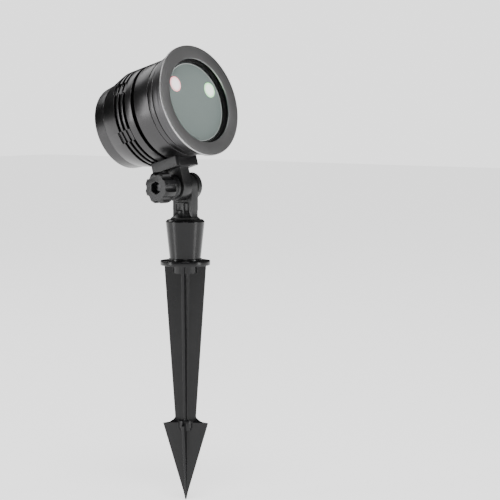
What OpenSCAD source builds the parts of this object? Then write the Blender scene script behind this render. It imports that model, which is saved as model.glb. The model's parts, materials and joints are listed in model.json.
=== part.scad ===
// Garden light projector on a ground spike.
// The origin is the centre of the flange's underside, where it meets the ground. +Z is up.
// At rest the projector looks towards -Y and is tilted up by head_tilt.

/* [Ground spike] */
// Diameter of the flange that rests on the ground
flange_d = 42.5; // [36:0.5:60]
// Thickness of the flange
flange_t = 4.1; // [3:0.1:7]
// Height of the hub's top above the ground
hub_h = 38.8; // [32:0.1:60]
// Diameter of the hub at its foot
hub_base_d = 26.5; // [25:0.5:34]
// Diameter of the hub at its top
hub_top_d = 33.2; // [28:0.1:40]
// Depth of the spike's tip below the ground
spike_depth = 201.5; // [150:0.5:260]
// Height of the barbed point, from the tip to the barbs
barb_h = 66; // [40:1:90]
// Half width across the barbs
barb_w = 19.4; // [12:0.2:24]
// Thickness of each fin
fin_t = 2.6; // [2:0.1:5]
// Half width of a fin at the ground
fin_top_w = 17.9; // [12:0.1:20]
// Half width of a fin just above the barbs
fin_neck_w = 9; // [6:0.1:11]
// Turn of the fins about the spike's axis
fin_turn = 33.5; // [0:0.5:90]

/* [Knuckle] */
// Diameter of the post's threaded stem over its threads
stem_d = 20.8; // [16:0.2:22]
// Length of the threaded stem
stem_l = 16; // [10:0.5:24]
// Height of the tilt axis above the hub's top
pivot_rise = 28.2; // [28:0.1:50]
// Diameter of the clamp bolt's shank
bolt_d = 6; // [5:0.5:8]
// Distance across the flats of the bolt's head and of the nut
hex_af = 10; // [8:0.5:13]
// Thickness of the post's ear
ear_t = 8; // [6:0.5:12]
// Thickness of the bracket's tongue
tongue_t = 11; // [6:0.5:12]
// Radius of the tongue's round end
tongue_r = 11.8; // [9.5:0.1:13]
// Outer diameter of the clamp knob
knob_d = 26.7; // [22:0.1:28]
// Length of the knob's grip
grip_l = 12.5; // [11:0.5:24]
// Number of lobes on the knob
knob_lobes = 8; // [5:1:12]

/* [Projector] */
// How far the front bezel stands out beyond the barrel, all round
rim_out = 5.3; // [5:0.1:12]
// Diameter of the barrel's straight part
barrel_d = 84.8; // [82:0.2:104]
// Thickness of the barrel's wall between its grooves
wall_t = 7.9; // [7.5:0.1:9]
// Length of the projector from the bezel's face to the back of the rear cover
head_l = 89.5; // [86:0.1:130]
// How much the barrel's tail tapers in, all round, where the rear cover meets it
tail_in = 5; // [3:0.1:5.2]
// Tilt of the projector above level at rest
head_tilt = 16; // [0:1:40]
// Turn of the barrel about its own axis
head_clock = 7.5; // [0:0.5:30]
// Distance from the tilt axis forward to the bezel's face
face_ahead = 44; // [36:0.5:60]
// Number of cooling grooves
groove_count = 3; // [1:1:3]
// Number of pockets milled across the cooling fins
pocket_count = 6; // [3:1:8]

/* [Optics] */
// Width of the bezel's lip over the rim of the glass
lip_w = 2.2; // [1.2:0.1:4]
// Thickness of the window glass
glass_t = 3; // [2:0.2:4]
// Diameter of each light opening in the front plate
port_d = 13.4; // [12.8:0.1:15]
// Distance from the front plate's rim to the middle of each light opening, sideways
port_in = 12.4; // [12:0.2:16]
// Height of the light openings above the barrel's axis
port_rise = 13.2; // [8:0.2:15]
// Diameter of each laser module
module_d = 12; // [10:0.2:12.4]

/* [Cord inlet] */
// Diameter of the gland's thread
gland_d = 12; // [12:0.5:16]
// Diameter of the cord that the gland takes
cord_d = 6.5; // [5:0.1:7]

/* [Hidden] */
$fn = 96;

// Clearances
run_gap = 0.08;    // radial, between a shaft and the bore it turns in
face_gap = 0.05;   // between flat faces that slide on each other
slip_gap = 0.1;    // radial, between pieces that are assembled once
free_gap = 0.4;    // around pieces that don't locate each other
eps = 0.01;        // how far a cut runs past a face

// Ground spike
flange_bevel = 0.6;
step_h = 1.6;          // plain step at the hub's foot
step_out = 1;          // how far the step stands proud of the hub
hub_bevel = 1.5;
boss_h = 7;            // boss under the flange
boss_d = hub_base_d - 5.9;
neck_z = barb_h - spike_depth + 5.5;   // lower end of the fins' straight edge
core_top_w = 3.6;      // half width of the core where the fins meet
core_low_w = 2.2;
core_t = 5.6;
gusset_d = 12.4;
gusset_h = 6.8;
gusset_lip = 2.2;

// Thread, as rings
thread_pitch = 2;
thread_h = 0.9;
thread_run_out = 2;    // plain length at each end of the stem

// Knuckle
seal_t = 1.2;
seal_d = 25;
post_z = hub_h + seal_t;
pivot_z = hub_h + pivot_rise;
flare_d = 23.2;
flare_h = 6.6;
slab_w = tongue_r - 1.2;           // half width of the ear
ear_x = -3.6;                      // face of the ear towards the tongue
boss_l = 4.4;                      // round boss behind the ear
post_boss_d = 2 * tongue_r - 0.4;
ear_back = ear_x + ear_t;
hex_depth = boss_l - 0.2;
disc_t = 0.6;                      // friction disc
tongue_x = ear_x - disc_t - 2 * face_gap - tongue_t;   // face towards the knob
head_offset = tongue_x + tongue_t / 2;
rib_reach = 4;                     // how far the ribbed neck stands out from the ear
rib_w = 4.8;                       // half width of the ribbed neck
ledge_drop = 1.6;                  // from the tongue's end to the ledge under it
ledge_z = pivot_z - tongue_r - ledge_drop;
rib_t = 1;
panel_depth = 2.6;
panel_foot = 4.2;                  // from the post's foot to the panels
bolt_hole_d = bolt_d + 4 * slip_gap;
bolt_head_t = 4;

// Knob
washer_t = 1.2;
washer_d = 18;
collar_x = tongue_x - washer_t - 2 * face_gap;   // knob's end towards the tongue
collar_t = 3;
collar_d = 20.8;
throat_l = 5.4;
throat_d = 19;
grip_x = collar_x - collar_t - throat_l;
knob_x = grip_x - grip_l;                        // knob's outer face
knob_bevel = 1.8;
flute_d = 6;
flute_out = 0.2;                                 // flute centres beyond the grip's radius
nut_t = 5;
nut_in = 6;                                      // nut's depth below the knob's face
bolt_end_x = knob_x + nut_in - 1.5;

// Bracket
saddle_t = 6.6;                // saddle under the barrel's lowest line
under_gap = tongue_r + 2.6;      // from the tilt axis to the saddle's underside
axis_up = barrel_d / 2 + saddle_t + under_gap;
saddle_s = 26.5;                 // saddle's front, behind the bezel's face
saddle_l = 31;
saddle_r = 2.4;
gusset_out = 3.2;              // rib between the saddle and the tongue's rear
gusset_len = 9;
screw4_d = 4;
screw4_head_d = 6.6;
screw4_head_t = 2.6;
screw4_x = tongue_t / 2 + 3.8;
saddle_w = 2 * (screw4_x + screw4_head_d / 2 + 0.9);
screw4_bite = 5;               // depth of thread in the barrel's wall
screw4_top = sqrt(pow(barrel_d / 2, 2) - pow(screw4_x, 2)) - screw4_bite;
screw4_seat = axis_up - under_gap - screw4_head_t - 0.4;

// Barrel and bezel, in distances behind the bezel's face
bezel_d = barrel_d + 2 * rim_out;
bore_d = barrel_d - 2 * wall_t;
tail_d = barrel_d - 2 * tail_in;
rim_t = 2;
rim_round = 1;
neck_s = 2.9;
neck_d = bezel_d - 4.6;
skirt_s = 7.9;
skirt_d = barrel_d + 3.2;
skirt_end = 12.8;
seal_s = 14.9;                 // barrel's front shoulder
lip_t = 1.6;
glass_wall = 3.9;              // from the barrel's outside in to the edge of the glass
glass_d = barrel_d - 2 * glass_wall;
window_d = glass_d - 2 * lip_w;
gasket_t = 1.4;
trim_t = 1.3;
seat_d = glass_d + 2 * slip_gap;
spigot_s = lip_t + glass_t + gasket_t + trim_t;
spigot_d = barrel_d - 3;
edge = 0.4;                    // small bevel at the edges of grooves
line_s = 19.3;                 // fine turned line
line_w = 0.8;
line_depth = 0.5;
wide_s = 35.8;                 // wide groove
wide_w = 3.7;
wide_depth = 4.4;
groove_s = 46.3;               // first cooling groove
groove_pitch = 5;
groove_w = 2.8;
groove_depth = 4.2;
groove_slope = 0.45;
cone_s = groove_s + 2 * groove_pitch + 1;   // start of the tapered tail
cover_l = 12.7;
barrel_end = head_l - cover_l;
pocket_s = 46.6;
pocket_l = 15.4;
pocket_w = 10.4;
pocket_depth = 2.3;
pocket_turn = 0;

// Rear cover
back_t = 4.8;
back_round = 3;
plug_l = 7;
plug_wall = 4.5;
ring_w = 1.7;                  // thickness of the O-ring
ring_groove_w = 2.2;
tie_r = bore_d / 2 - 10;        // cover screws from the axis
tie_boss_d = 8;
tie_count = 4;
screw3_d = 3;
screw3_head_d = 5.6;
screw3_head_t = 1.8;

// Optics
plate_t = 1.6;
plate_s = spigot_s - trim_t - 0.2;
plate_d = bore_d - 1.8;
port_x = plate_d / 2 - port_in;
block_s = 14;
block_l = 30;
block_h = 22;
lens_t = 1.2;
lens_in = 0.1;
module_l = 43;

// Electronics
board_w = 44;
board_l = 40;
board_t = 1.6;
board_s = 18;
standoff_h = 8.2;
standoff_d = 5.6;
standoff_x = 18;
standoff_pitch = 20;
block_low = -port_rise + block_h / 2;   // block's underside in the barrel's frame
board_y = block_low + standoff_h;
parts_y = board_y + board_t;

// Gland
gland_af = gland_d + 4;
gland_hex_t = 3.4;
gland_in = 5;                  // thread inside the cover, past its wall
gland_out = 8;
locknut_t = 3.4;
dome_l = 13;
dome_af = gland_af - 1;

SATIN = [0.16, 0.16, 0.17];
GLOSS = [0.11, 0.11, 0.12];
STEEL = [0.72, 0.72, 0.74];
RUBBER = [0.07, 0.07, 0.07];
BRASS = [0.78, 0.62, 0.3];
ALU = [0.68, 0.7, 0.72];
BOARD = [0.1, 0.35, 0.2];

// ---------- Places ----------

module in_head() {
    translate([0, 0, pivot_z]) rotate([-head_tilt, 0, 0]) children();
}

// The barrel's frame: z is the distance behind the bezel's face, and -y is up.
module in_barrel() {
    in_head() translate([head_offset, -face_ahead, axis_up]) rotate([-90, 0, 0]) children();
}

module clocked() {
    in_barrel() rotate([0, 0, head_clock]) children();
}

// The tilt axis: children are drawn along z, and z becomes X.
module along_bolt() {
    translate([0, 0, pivot_z]) rotate([0, 90, 0]) children();
}

// ---------- Shapes ----------

module disc(d, from, to) {
    translate([0, 0, from]) cylinder(d = d, h = to - from);
}

module ring(d_out, d_in, from, to) {
    difference() {
        disc(d_out, from, to);
        disc(d_in, from - eps, to + eps);
    }
}

module hexagon(af, from, to) {
    translate([0, 0, from]) cylinder(d = af / cos(30), h = to - from, $fn = 6);
}

module o_ring(r_mid, s) {
    translate([0, 0, s]) rotate_extrude() translate([r_mid, 0]) circle(d = ring_w, $fn = 32);
}

module round_rect(w, l, r) {
    square([w - 2 * r, l], center = true);
    square([w, l - 2 * r], center = true);
    for (x = [-1, 1], y = [-1, 1]) translate([x * (w / 2 - r), y * (l / 2 - r)]) circle(r = r);
}

// A plug with ring threads; grow widens it for the socket that it turns in.
module thread(d, l, grow) {
    r_low = d / 2 - thread_h + grow;
    r_high = d / 2 + grow;
    turns = floor((l - 2 * thread_run_out) / thread_pitch);
    teeth = [
        for (i = [0:turns - 1], p = [[r_low, 0.1], [r_high, 0.45], [r_high, 0.65], [r_low, 1]])
            [p[0], thread_run_out + (i + p[1]) * thread_pitch]
    ];
    rotate_extrude() polygon(concat([[0, 0], [r_low, 0]], teeth, [[r_low, l], [0, l]]));
}

// ---------- Ground spike ----------

module fin_plate(top_w, neck_w, tip_z, t, barbed) {
    points = barbed
        ? [[0, 0], [top_w, 0], [neck_w, neck_z], [barb_w - 5.4, neck_z - 4.5],
           [barb_w, barb_h - spike_depth], [0, tip_z]]
        : [[0, 0], [top_w, 0], [neck_w, neck_z], [0, tip_z]];
    rotate([90, 0, 0]) translate([0, 0, -t / 2]) linear_extrude(t) polygon(points);
}

module hub_body() {
    r = flange_d / 2;
    hub_r = hub_base_d / 2;
    rotate_extrude() polygon([
        [0, 0], [r - flange_bevel, 0], [r, flange_bevel], [r, flange_t - flange_bevel],
        [r - flange_bevel, flange_t], [hub_r + step_out, flange_t],
        [hub_r + step_out, flange_t + step_h], [hub_r, flange_t + step_h],
        [hub_top_d / 2, hub_h - hub_bevel], [hub_top_d / 2 - hub_bevel, hub_h], [0, hub_h]
    ]);
}

module ground_spike() {
    barb_z = barb_h - spike_depth;
    color(GLOSS) difference() {
        union() {
            hub_body();
            disc(boss_d, -boss_h, eps);
            for (k = [0:3]) rotate([0, 0, fin_turn + 90 * k]) {
                fin_plate(fin_top_w, fin_neck_w, -spike_depth, fin_t, true);
                fin_plate(core_top_w, core_low_w, barb_z - 20, core_t, false);
            }
            disc(gusset_d, barb_z - 4, barb_z - 4 + gusset_h);
            disc(gusset_d - 2, barb_z - 4 - gusset_lip, barb_z - 4 + eps);
        }
        translate([0, 0, hub_h - stem_l]) thread(stem_d, stem_l + eps, run_gap);
        disc(stem_d - 2 * thread_h, hub_h - stem_l - 1, hub_h - stem_l + eps);
    }
}

// ---------- Post ----------

module post_neck() {
    // ribbed block between the ear and the front of the neck, with a panel sunk in each side
    x = ear_x - rib_reach;
    h = ledge_z - post_z;
    difference() {
        translate([x, -rib_w, post_z]) cube([rib_reach + eps, 2 * rib_w, h]);
        translate([x - eps, -rib_w + rib_t, post_z + panel_foot])
            cube([panel_depth + eps, 2 * (rib_w - rib_t), h - panel_foot - rib_t]);
        for (y = [-1, 1]) translate([x + rib_t, y * rib_w - panel_depth, post_z + panel_foot])
            cube([rib_reach - rib_t, 2 * panel_depth, h - panel_foot - rib_t]);
    }
}

module post_flare() {
    r = flare_d / 2;
    rotate_extrude() polygon([
        [0, post_z], [r, post_z], [r, post_z + 0.8], [r - 1.1, post_z + 1.4], [r - 1.9, post_z + 2.2],
        [r - 2.6, post_z + 3.4], [r - 3.1, post_z + 4.8], [r - 3.3, post_z + flare_h], [0, post_z + flare_h]
    ]);
}

module ear() {
    difference() {
        union() {
            along_bolt() disc(2 * slab_w, ear_x, ear_back);
            translate([ear_x, -slab_w, post_z + 1]) cube([ear_t, 2 * slab_w, pivot_z - post_z - 1]);
            along_bolt() disc(post_boss_d, ear_back - eps, ear_back + boss_l);
        }
        along_bolt() disc(bolt_hole_d, ear_x - eps, ear_back + boss_l + eps);
        along_bolt() hexagon(hex_af + 2 * slip_gap, ear_back + boss_l - hex_depth, ear_back + boss_l + 1);
        // the ear's foot is trimmed to the round of the flare
        difference() {
            translate([-flange_d, -flange_d, post_z]) cube([2 * flange_d, 2 * flange_d, flare_h]);
            disc(flare_d - 1, post_z - 1, post_z + flare_h + 1);
        }
    }
}

module knuckle_post() {
    color(SATIN) union() {
        translate([0, 0, hub_h - stem_l]) thread(stem_d, stem_l + eps, 0);
        disc(stem_d - 2 * thread_h, hub_h - 1, post_z + 1);
        post_flare();
        post_neck();
        ear();
    }
}

module post_seal() {
    color(RUBBER) ring(seal_d, stem_d + 2 * slip_gap, hub_h + face_gap, post_z);
}

// ---------- Clamp ----------

module clamp_bolt() {
    head_x = ear_back + boss_l - hex_depth;
    color(STEEL) along_bolt() union() {
        disc(bolt_d, bolt_end_x, head_x + eps);
        intersection() {
            hexagon(hex_af, head_x, head_x + bolt_head_t);
            translate([0, 0, head_x]) cylinder(d1 = 2 * hex_af, d2 = hex_af * 1.06, h = bolt_head_t + eps);
        }
    }
}

module clamp_washer() {
    color(STEEL) along_bolt()
        ring(washer_d, bolt_d + 2 * slip_gap, collar_x + face_gap, tongue_x - face_gap);
}

module friction_disc() {
    color(RUBBER) along_bolt()
        ring(2 * slab_w, bolt_d + 4 * slip_gap, ear_x - face_gap - disc_t, ear_x - face_gap);
}

module grip_blank() {
    r = knob_d / 2;
    rotate_extrude() polygon([
        [0, knob_x], [r - knob_bevel, knob_x], [r, knob_x + knob_bevel], [r, grip_x - knob_bevel],
        [throat_d / 2 + 0.6, grip_x], [throat_d / 2, grip_x + 1.4], [throat_d / 2, collar_x - collar_t - 0.4],
        [collar_d / 2, collar_x - collar_t], [collar_d / 2, collar_x - 0.5],
        [collar_d / 2 - 0.5, collar_x], [0, collar_x]
    ]);
}

module clamp_knob() {
    color(SATIN) along_bolt() difference() {
        grip_blank();
        for (k = [0:knob_lobes - 1]) rotate([0, 0, 360 / knob_lobes * k])
            translate([knob_d / 2 + flute_out, 0, 0]) disc(flute_d, knob_x - eps, grip_x - 1.2);
        disc(bolt_d + 2 * run_gap, knob_x - eps, collar_x + eps);
        hexagon(hex_af, knob_x - eps, knob_x + nut_in + nut_t);
    }
}

module knob_nut() {
    color(STEEL) along_bolt() difference() {
        hexagon(hex_af, knob_x + nut_in, knob_x + nut_in + nut_t);
        disc(bolt_d + 2 * run_gap, knob_x, knob_x + nut_in + nut_t + eps);
    }
}

// ---------- Bracket ----------

module saddle() {
    half = saddle_w / 2;
    mid = saddle_s + saddle_l / 2;
    in_barrel() difference() {
        translate([0, 0, mid]) rotate([-90, 0, 0]) translate([0, 0, axis_up - under_gap - 2 * saddle_t])
            linear_extrude(2 * saddle_t) round_rect(saddle_w, saddle_l, saddle_r);
        disc(barrel_d, saddle_s - half, saddle_s + saddle_l + half);
    }
}

module tongue() {
    in_head() translate([tongue_x, 0, 0]) {
        rotate([0, 90, 0]) disc(2 * tongue_r, 0, tongue_t);
        translate([0, -tongue_r, 0]) cube([tongue_t, 2 * tongue_r, under_gap + 1]);
        translate([tongue_t / 2, tongue_r - gusset_len, under_gap]) rotate([-90, 0, 0])
            linear_extrude(gusset_len) polygon([
                [-tongue_t / 2 - gusset_out, -eps], [tongue_t / 2 + gusset_out, -eps],
                [tongue_t / 2 - eps, gusset_out], [-tongue_t / 2 + eps, gusset_out]
            ]);
    }
}

// Places children at each bracket screw, with z pointing down, away from the barrel.
module at_bracket_screws() {
    mid = (wide_s + wide_w + groove_s) / 2;
    for (x = [-1, 1]) in_barrel() translate([x * screw4_x, 0, mid]) rotate([-90, 0, 0]) children();
}

module mount_bracket() {
    color(SATIN) difference() {
        union() {
            saddle();
            tongue();
        }
        along_bolt() disc(bolt_d + 2 * run_gap, tongue_x - eps, tongue_x + tongue_t + eps);
        at_bracket_screws() {
            disc(screw4_d + 2 * slip_gap, screw4_top, axis_up);
            disc(screw4_head_d + free_gap, screw4_seat, axis_up);
        }
    }
}

module bracket_screws() {
    color(STEEL) at_bracket_screws() difference() {
        union() {
            disc(screw4_d, screw4_top, screw4_seat + eps);
            disc(screw4_head_d, screw4_seat, screw4_seat + screw4_head_t);
        }
        hexagon(screw4_d * 0.65, screw4_seat + screw4_head_t - 1.6, screw4_seat + screw4_head_t + 1);
    }
}

// ---------- Barrel ----------

function groove_points(s, w, depth) = [
    [barrel_d / 2, s - edge], [barrel_d / 2 - edge, s],
    [barrel_d / 2 - depth, s + groove_slope], [barrel_d / 2 - depth, s + w - groove_slope],
    [barrel_d / 2 - edge, s + w], [barrel_d / 2, s + w + edge]
];

module barrel_skin() {
    r = barrel_d / 2;
    fins = [for (i = [0:groove_count - 1]) each groove_points(groove_s + i * groove_pitch, groove_w, groove_depth)];
    rotate_extrude() polygon(concat(
        [[0, spigot_s], [spigot_d / 2 - edge, spigot_s], [spigot_d / 2, spigot_s + edge],
         [spigot_d / 2, seal_s], [r - edge, seal_s], [r, seal_s + edge],
         [r, line_s], [r - line_depth, line_s], [r - line_depth, line_s + line_w], [r, line_s + line_w]],
        groove_points(wide_s, wide_w, wide_depth), fins,
        [[r, cone_s + groove_w], [tail_d / 2, barrel_end - 0.3], [tail_d / 2 - 0.3, barrel_end], [0, barrel_end]]
    ));
}

module pockets() {
    for (k = [0:pocket_count - 1]) rotate([0, 0, pocket_turn + 360 / pocket_count * k])
        translate([-pocket_w / 2, barrel_d / 2 - pocket_depth, pocket_s])
            cube([pocket_w, 2 * pocket_depth, pocket_l]);
}

module at_ties() {
    for (k = [0:tie_count - 1]) rotate([0, 0, 45 + 360 / tie_count * k]) translate([tie_r, 0, 0]) children();
}

module barrel() {
    plug_s = barrel_end - plug_l;
    color(SATIN) difference() {
        union() {
            clocked() difference() {
                barrel_skin();
                disc(bore_d, spigot_s - eps, barrel_end + eps);
                pockets();
            }
            clocked() {
                at_ties() disc(tie_boss_d, plug_s - 10, head_l - back_t - slip_gap);
                intersection() {
                    at_ties() translate([0, -tie_boss_d / 3, plug_s - 10])
                        cube([bore_d / 2, tie_boss_d / 1.5, 10 - free_gap]);
                    disc(bore_d + 1, 0, head_l);
                }
            }
        }
        clocked() at_ties() disc(screw3_d, head_l - back_t - 12, head_l);
        at_bracket_screws() disc(screw4_d, screw4_top - eps, axis_up);
    }
}

module front_bezel() {
    r = bezel_d / 2;
    color(SATIN) clocked() difference() {
        rotate_extrude() polygon([
            [0, 0], [r - rim_round * 1.6, 0], [r - rim_round * 0.5, rim_round * 0.35], [r, rim_round],
            [r, rim_t - 0.3], [r - 0.3, rim_t], [neck_d / 2 - 1.2, rim_t + 0.2], [neck_d / 2 - 1.2, neck_s - 0.2],
            [neck_d / 2, neck_s], [neck_d / 2, skirt_s - 1.1], [neck_d / 2 - 0.4, skirt_s - 0.8],
            [skirt_d / 2 - 0.9, skirt_s - 0.8], [skirt_d / 2 - 0.9, skirt_s], [skirt_d / 2, skirt_s + 0.3],
            [skirt_d / 2, skirt_end - 0.3], [skirt_d / 2 - 0.3, skirt_end], [0, skirt_end]
        ]);
        disc(window_d, -eps, lip_t + eps);
        disc(seat_d, lip_t, spigot_s);
        disc(spigot_d + 2 * slip_gap, spigot_s - slip_gap, skirt_end + eps);
    }
}

module bezel_seal() {
    color(RUBBER) clocked() ring(barrel_d - 1.2, spigot_d, skirt_end, seal_s);
}

module window_glass() {
    color([0.8, 0.9, 0.9, 0.4]) clocked() disc(glass_d, lip_t, lip_t + glass_t);
}

module window_gasket() {
    color(RUBBER) clocked() ring(glass_d, window_d - 2, lip_t + glass_t, lip_t + glass_t + gasket_t);
}

module trim_ring() {
    color(STEEL) clocked() ring(glass_d, plate_d + 2 * free_gap, spigot_s - trim_t, spigot_s);
}

// ---------- Optics ----------

module at_ports() {
    for (x = [-1, 1]) translate([x * port_x, -port_rise, 0]) children();
}

module front_plate() {
    color([0.58, 0.62, 0.61]) clocked() difference() {
        disc(plate_d, plate_s, block_s);
        disc(plate_d - 3, plate_s + plate_t, block_s + eps);
        at_ports() disc(port_d, plate_s - eps, plate_s + plate_t + eps);
    }
}

module lens(side) {
    clocked() translate([side * port_x, -port_rise, 0])
        disc(port_d - slip_gap, plate_s + lens_in, plate_s + lens_in + lens_t);
}

module laser_module(side) {
    from = plate_s + lens_in + lens_t;
    clocked() translate([side * port_x, -port_rise, 0]) difference() {
        disc(module_d, from, from + module_l);
        disc(module_d / 3, from - eps, from + module_l / 3);
        ring(module_d + 1, module_d - 1.2, from + module_l - 4, from + module_l - 3);
    }
}

module red_lens() { color([0.9, 0.3, 0.3]) lens(-1); }
module green_lens() { color([0.3, 0.9, 0.3]) lens(1); }
module red_module() { color(BRASS) laser_module(-1); }
module green_module() { color(BRASS) laser_module(1); }

module module_block() {
    color(ALU) clocked() difference() {
        intersection() {
            disc(bore_d, block_s, block_s + block_l);
            translate([-bore_d / 2, block_low - block_h, block_s]) cube([bore_d, block_h, block_l]);
        }
        at_ports() disc(module_d + 2 * slip_gap, block_s - eps, block_s + block_l + eps);
        // cooling slots between the modules
        for (i = [-2:2]) translate([i * 4.4 - 1, block_low - block_h - eps, block_s + 4])
            cube([2, block_h * 0.6, block_l - 8]);
    }
}

// ---------- Electronics ----------

module at_standoffs() {
    for (x = [-1, 1], k = [0, 1]) translate([x * standoff_x, 0, board_s + 4 + k * standoff_pitch]) children();
}

module board_standoffs() {
    color(BRASS) clocked() at_standoffs() rotate([-90, 0, 0]) difference() {
        translate([0, 0, block_low]) cylinder(d = standoff_d / cos(30), h = standoff_h, $fn = 6);
        disc(screw3_d, block_low + 1, board_y + eps);
    }
}

module driver_board() {
    color(BOARD) clocked() difference() {
        translate([-board_w / 2, board_y, board_s]) cube([board_w, board_t, board_l]);
        at_standoffs() rotate([-90, 0, 0]) disc(screw3_d + 2 * slip_gap, board_y - eps, parts_y + eps);
    }
}

module board_screws() {
    color(STEEL) clocked() at_standoffs() rotate([-90, 0, 0]) union() {
        disc(screw3_d, block_low + standoff_h / 2, parts_y + eps);
        disc(screw3_head_d, parts_y, parts_y + screw3_head_t);
    }
}

module board_parts() {
    mid = board_s + board_l / 2;
    color([0.15, 0.15, 0.16]) clocked() {
        for (x = [-8, 3]) translate([x, 0, mid - 8]) rotate([-90, 0, 0]) disc(8, parts_y, parts_y + 12);
        translate([-13, parts_y, mid + 1]) cube([7, 1.6, 10]);
        translate([0, parts_y, mid + 1]) cube([12, 2.4, 8]);
        translate([-8, parts_y, board_s + board_l - 8]) cube([16, 8, 7.6]);
        for (x = [-12, -9, -6]) translate([x, 0, mid + 14]) rotate([-90, 0, 0]) disc(2, parts_y, parts_y + 1.8);
        translate([12, 0, mid - 2]) rotate([-90, 0, 0]) ring(9, 4, parts_y, parts_y + 5);
    }
}

// ---------- Rear cover ----------

module rear_cover() {
    r = tail_d / 2;
    plug_d = bore_d - 2 * slip_gap;
    slope = (barrel_d - tail_d) / 2 / (barrel_end - cone_s) * 0.45;
    end_r = r - slope * (cover_l - back_round);
    color(SATIN) clocked() difference() {
        union() {
            rotate_extrude() polygon([
                [0, barrel_end], [r - 0.4, barrel_end], [r, barrel_end + 0.4],
                [end_r, head_l - back_round], [end_r - 0.5, head_l - back_round / 2],
                [end_r - 1.5, head_l - back_round / 5], [end_r - back_round, head_l], [0, head_l]
            ]);
            disc(plug_d, barrel_end - plug_l, barrel_end + eps);
        }
        disc(bore_d - 2 * plug_wall, barrel_end - plug_l - eps, head_l - back_t);
        ring(bore_d, bore_d - 2 * ring_w, barrel_end - plug_l + 2, barrel_end - plug_l + 2 + ring_groove_w);
        at_ties() {
            disc(screw3_d + 2 * slip_gap, head_l - back_t - eps, head_l + eps);
            disc(screw3_head_d + free_gap, head_l - screw3_head_t - 0.4, head_l + eps);
        }
        disc(gland_d + 2 * slip_gap, head_l - back_t - eps, head_l + eps);
    }
}

module rear_seal() {
    color(RUBBER) clocked() o_ring((bore_d - ring_w) / 2, barrel_end - plug_l + 2 + ring_groove_w / 2);
}

module rear_cover_screws() {
    seat = head_l - screw3_head_t - 0.4;
    color(STEEL) clocked() at_ties() difference() {
        union() {
            disc(screw3_d, head_l - back_t - 10, seat + eps);
            disc(screw3_head_d, seat, seat + screw3_head_t);
        }
        hexagon(screw3_d * 0.7, seat + screw3_head_t - 1.2, seat + screw3_head_t + 1);
    }
}

// ---------- Gland ----------

module gland_body() {
    color(SATIN) clocked() difference() {
        union() {
            disc(gland_d, head_l - back_t - gland_in, head_l + gland_hex_t + gland_out);
            hexagon(gland_af, head_l, head_l + gland_hex_t);
        }
        disc(cord_d, head_l - back_t - gland_in - eps, head_l + gland_hex_t + eps);
        disc(gland_d - 3, head_l + gland_hex_t, head_l + gland_hex_t + gland_out + eps);
    }
}

module gland_seal() {
    color(RUBBER) clocked()
        ring(gland_d - 3, cord_d, head_l + gland_hex_t, head_l + gland_hex_t + gland_out + 1);
}

module gland_nut() {
    from = head_l + gland_hex_t + 0.5;
    reach = gland_out + 0.6;
    color(SATIN) clocked() difference() {
        union() {
            hexagon(dome_af, from, from + dome_l * 0.55);
            translate([0, 0, from + dome_l * 0.55 - eps])
                cylinder(d1 = dome_af, d2 = cord_d + 4, h = dome_l * 0.45, $fn = 64);
        }
        disc(gland_d, from - eps, from + reach);
        disc(cord_d, from, from + dome_l + 1);
    }
}

module gland_locknut() {
    to = head_l - back_t;
    color(SATIN) clocked() difference() {
        hexagon(gland_af, to - locknut_t, to);
        disc(gland_d, to - locknut_t - eps, to + eps);
    }
}

// ---------- The pieces ----------

ground_spike();
knuckle_post();
post_seal();
clamp_bolt();
clamp_washer();
friction_disc();
clamp_knob();
knob_nut();
mount_bracket();
bracket_screws();
barrel();
front_bezel();
bezel_seal();
window_glass();
window_gasket();
trim_ring();
front_plate();
red_lens();
green_lens();
red_module();
green_module();
module_block();
driver_board();
board_parts();
board_standoffs();
board_screws();
rear_cover();
rear_seal();
rear_cover_screws();
gland_body();
gland_seal();
gland_nut();
gland_locknut();
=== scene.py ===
"""Garden laser projector on a ground spike: the looks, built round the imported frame.

Every size is in metres in the row's frame: the origin is the centre of the flange's underside,
+Z is up, the projector looks towards -Y and the clamp knob is on -X.
"""
import json
import logging
import math
from dataclasses import dataclass
from enum import Enum
from typing import Any, Iterable, Sequence

import bmesh
import bpy
from mathutils import Matrix, Vector


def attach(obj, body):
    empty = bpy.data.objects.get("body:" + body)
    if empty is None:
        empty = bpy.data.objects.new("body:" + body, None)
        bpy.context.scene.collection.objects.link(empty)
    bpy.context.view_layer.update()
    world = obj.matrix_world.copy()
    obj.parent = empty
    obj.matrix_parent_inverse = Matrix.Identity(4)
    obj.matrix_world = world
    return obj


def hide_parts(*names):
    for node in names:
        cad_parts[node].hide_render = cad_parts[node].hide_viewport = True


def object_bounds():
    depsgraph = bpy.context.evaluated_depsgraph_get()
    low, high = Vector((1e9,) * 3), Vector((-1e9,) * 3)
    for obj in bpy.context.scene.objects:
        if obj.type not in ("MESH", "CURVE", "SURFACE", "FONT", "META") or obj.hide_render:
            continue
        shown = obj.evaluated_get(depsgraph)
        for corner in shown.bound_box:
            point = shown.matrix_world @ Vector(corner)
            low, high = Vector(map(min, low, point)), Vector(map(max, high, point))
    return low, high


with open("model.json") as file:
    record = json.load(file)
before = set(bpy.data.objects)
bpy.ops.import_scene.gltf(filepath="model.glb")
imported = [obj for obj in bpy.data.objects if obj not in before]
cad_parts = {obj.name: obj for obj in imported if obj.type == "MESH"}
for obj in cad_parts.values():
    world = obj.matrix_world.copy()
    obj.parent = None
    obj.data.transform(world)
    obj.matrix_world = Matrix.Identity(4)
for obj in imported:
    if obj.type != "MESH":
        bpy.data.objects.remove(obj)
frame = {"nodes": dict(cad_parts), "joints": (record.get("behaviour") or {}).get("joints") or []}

CAD_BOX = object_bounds()
LOG = logging.getLogger("projector")
MM = 0.001
CUT_OVER = 1.0  # millimetres that a cutter runs past the face that it cuts
Point = tuple[float, float]


# ---------------------------------------------------------------- shader maths


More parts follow.
